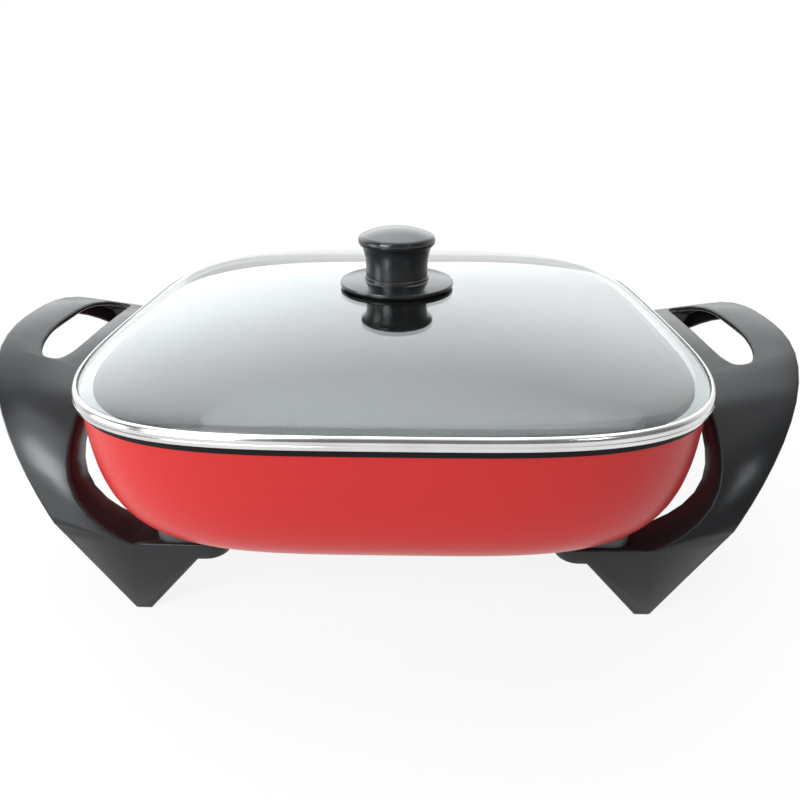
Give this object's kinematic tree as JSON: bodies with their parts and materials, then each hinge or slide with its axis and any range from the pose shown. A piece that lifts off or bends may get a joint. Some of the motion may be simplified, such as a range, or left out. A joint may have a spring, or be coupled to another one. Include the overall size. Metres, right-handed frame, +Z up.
{
  "type": "electric hot pot",
  "caption": "Square electric hot pot: red cast pan on moulded handle-and-leg ends, heating element and plug-in socket underneath, and a lift-off glass lid with a steel band and a knob.",
  "frame": {"origin": "centre of the footprint, on the table", "axes": "+X from handle to handle towards the socket end, +Y away from the front, +Z up"},
  "size_m": [0.447, 0.32, 0.1779],
  "materials": {
    "pan_enamel": "satin gloss red on cast aluminium, black non-stick inside",
    "element_sheath": "heat-darkened steel sheath",
    "pin_brass": "plain brass",
    "bead_ceramic": "unglazed ceramic",
    "steel": "plain steel",
    "black_plastic": "satin heat-resistant plastic, black",
    "spacer_grey": "dark grey heat-resistant plastic",
    "band_steel": "polished stainless steel",
    "lid_glass": "clear tempered glass",
    "gasket_rubber": "translucent white silicone"
  },
  "bodies": {
    "base": {"pan": "pan_enamel", "heating_element": "element_sheath", "terminal_pins": "pin_brass", "terminal_insulators": "bead_ceramic", "probe_well": "steel", "socket_guard": "steel", "socket_guard_screws": "steel", "earth_spring": "pin_brass", "left_handle": "black_plastic", "right_handle": "black_plastic", "left_leg_spacers": "spacer_grey", "right_leg_spacers": "spacer_grey", "left_leg_washers": "steel", "right_leg_washers": "steel", "left_leg_screws": "steel", "right_leg_screws": "steel"},
    "lid": {"lid_rim": "band_steel", "lid_glass": "lid_glass", "knob_upper_gasket": "gasket_rubber", "knob_lower_gasket": "gasket_rubber", "knob_washer": "steel", "knob_screw": "steel", "knob_insert": "pin_brass", "knob_flange": "black_plastic", "knob": "black_plastic"}
  },
  "joints": [
    {"name": "lid_lift", "type": "slide", "parent": "base", "child": "lid", "axis": [0, 0, 1], "range_m": [0, 0.12]}
  ]
}
